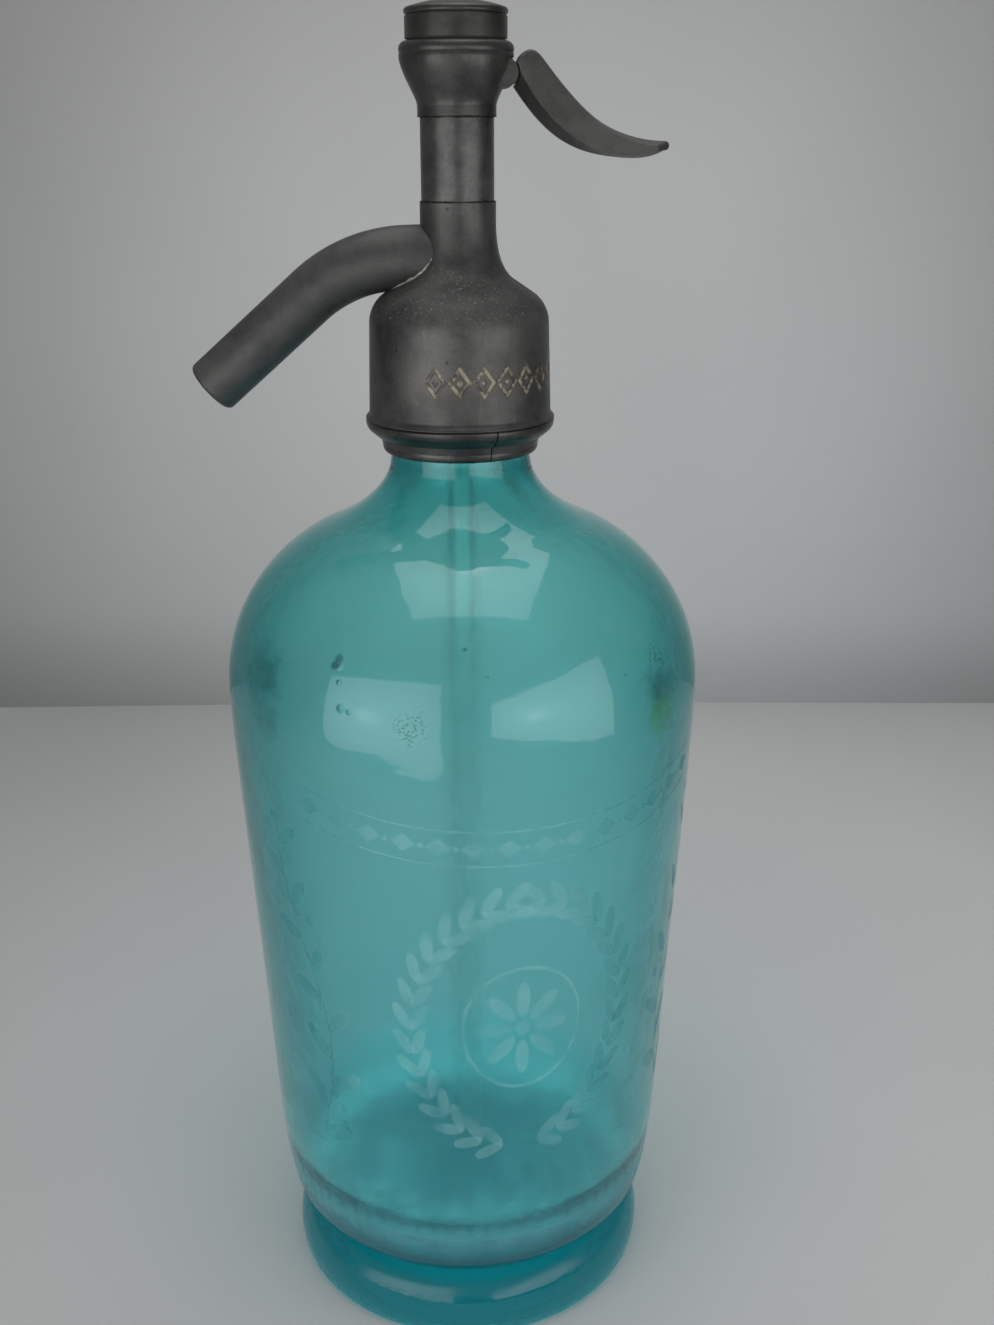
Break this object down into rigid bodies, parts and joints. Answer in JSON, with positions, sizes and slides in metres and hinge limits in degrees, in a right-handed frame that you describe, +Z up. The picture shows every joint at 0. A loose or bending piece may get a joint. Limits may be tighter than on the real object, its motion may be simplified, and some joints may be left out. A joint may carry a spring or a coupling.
{
  "type": "soda siphon",
  "caption": "Thick glass soda siphon bottle on a glass foot, with a cast head, curved spout, lift valve, dip tube and thumb lever.",
  "frame": {"origin": "centre of the foot's underside, on the surface the bottle stands on", "axes": "+Z up along the bottle's axis, +X towards the lever, -X towards the spout, Y across"},
  "size_m": [0.1166, 0.1124, 0.3126],
  "materials": {
    "tinted_glass": "polished",
    "tube_glass": "polished",
    "pewter": "worn satin",
    "brass": "satin",
    "steel": "satin",
    "rubber": "matt",
    "leather": "matt"
  },
  "bodies": {
    "siphon": {"glass_bottle": "tinted_glass", "dip_tube": "tube_glass", "tube_grommet": "rubber", "tube_nut": "pewter", "neck_gasket": "rubber", "neck_ring_front": "pewter", "neck_ring_back": "pewter", "head_body": "pewter", "valve_seat": "brass", "spout": "pewter", "stem_washer": "leather", "stem_tube": "pewter", "gland_packing": "leather", "gland_nut": "brass", "lever_housing": "pewter", "lever_pin": "steel", "top_cap": "pewter", "cap_washer": "leather", "spring_washer": "brass", "return_spring": "steel"},
    "lever": {"lever": "pewter"},
    "piston": {"piston_rod": "brass", "piston_head": "brass", "valve_washer": "rubber", "washer_screw": "brass"}
  },
  "joints": [
    {"name": "lever_press", "type": "hinge", "parent": "siphon", "child": "lever", "pos_m": [0.01, 0, 0.298], "axis": [0, 1, 0], "range_deg": [0, 16], "stiffness_Nm_per_rad": 0.05, "springref_deg": -17.19},
    {"name": "piston_lift", "type": "slide", "parent": "siphon", "child": "piston", "axis": [0, 0, 1], "range_m": [0, 0.0028], "deforming": ["return_spring"]}
  ],
  "couplings": [
    {"joint": "piston_lift", "follows": "lever_press", "m_per_rad": 0.0099675}
  ]
}
